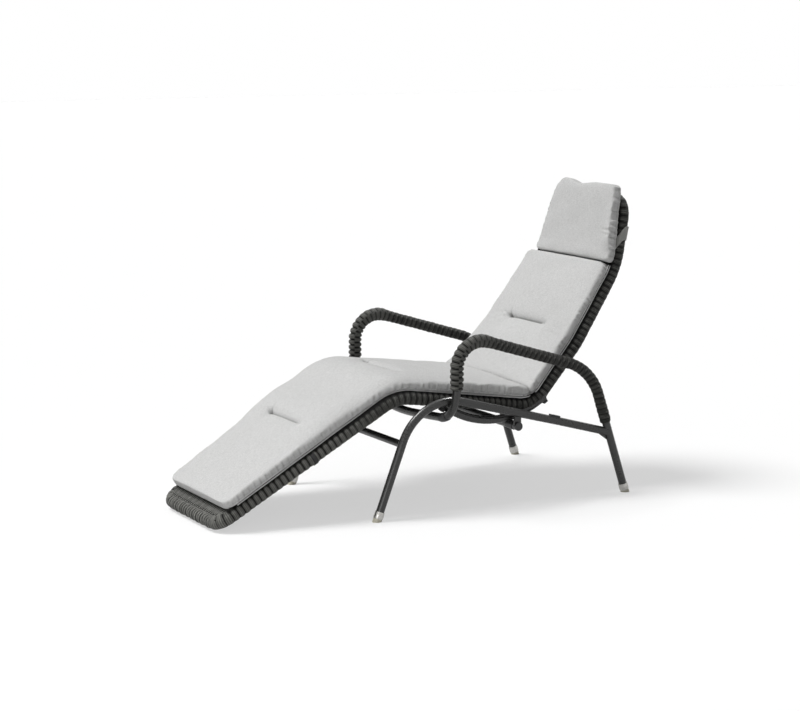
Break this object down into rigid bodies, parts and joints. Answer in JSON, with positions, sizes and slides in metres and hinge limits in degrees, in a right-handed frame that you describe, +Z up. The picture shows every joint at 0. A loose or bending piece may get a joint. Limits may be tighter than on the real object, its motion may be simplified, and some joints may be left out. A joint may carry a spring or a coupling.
{
  "type": "reclining garden armchair",
  "caption": "Reclining garden armchair: a cushioned woven lounging shell slides on curved runners in a bent-tube base with woven arms.",
  "frame": {"origin": "on the floor under the middle of the chair's length, in its plane of symmetry", "axes": "+X from the foot end towards the head end, +Y towards the sitter's right, +Z up"},
  "size_m": [1.4486, 0.6814, 0.9485],
  "materials": {
    "anthracite_metal": "semi-gloss powder coat",
    "woven_strand": "satin woven strands",
    "black_rubber": "matt",
    "black_plastic": "satin",
    "polished_ferrule": "polished",
    "pale_plastic": "satin",
    "cushion_fabric": "heathered weave",
    "strap_fabric": "webbing"
  },
  "bodies": {
    "base": {"front_hoop_tube": "anthracite_metal", "left_rear_leg_tube": "anthracite_metal", "right_rear_leg_tube": "anthracite_metal", "arm_spigots": "anthracite_metal", "left_side_rail": "anthracite_metal", "right_side_rail": "anthracite_metal", "rear_joint_gussets": "anthracite_metal", "leg_stretcher": "anthracite_metal", "rear_cross_tube": "anthracite_metal", "cross_tube_brackets": "anthracite_metal", "cross_tube_caps": "black_plastic", "front_runner_sleeves": "black_plastic", "rear_runner_sleeves": "black_plastic", "left_arm_wrap": "woven_strand", "right_arm_wrap": "woven_strand", "rail_pads": "black_rubber", "foot_ferrules": "polished_ferrule", "foot_glides": "pale_plastic"},
    "shell": {"shell_frame": "anthracite_metal", "shell_braces": "anthracite_metal", "woven_rim": "woven_strand", "woven_deck": "woven_strand", "left_runner": "anthracite_metal", "right_runner": "anthracite_metal", "runner_stops": "black_rubber", "seat_cushion": "cushion_fabric", "back_cushion": "cushion_fabric", "cushion_ties": "strap_fabric"},
    "headrest": {"head_cushion": "cushion_fabric", "head_strap": "strap_fabric"}
  },
  "joints": [
    {"name": "recline", "type": "hinge", "parent": "base", "child": "shell", "pos_m": [0.19005, 0, 0.565], "axis": [0, 1, 0], "range_deg": [0, 20]},
    {"name": "head_height", "type": "slide", "parent": "shell", "child": "headrest", "axis": [0.213, 0, 0.9771], "range_m": [0, 0.04]}
  ]
}
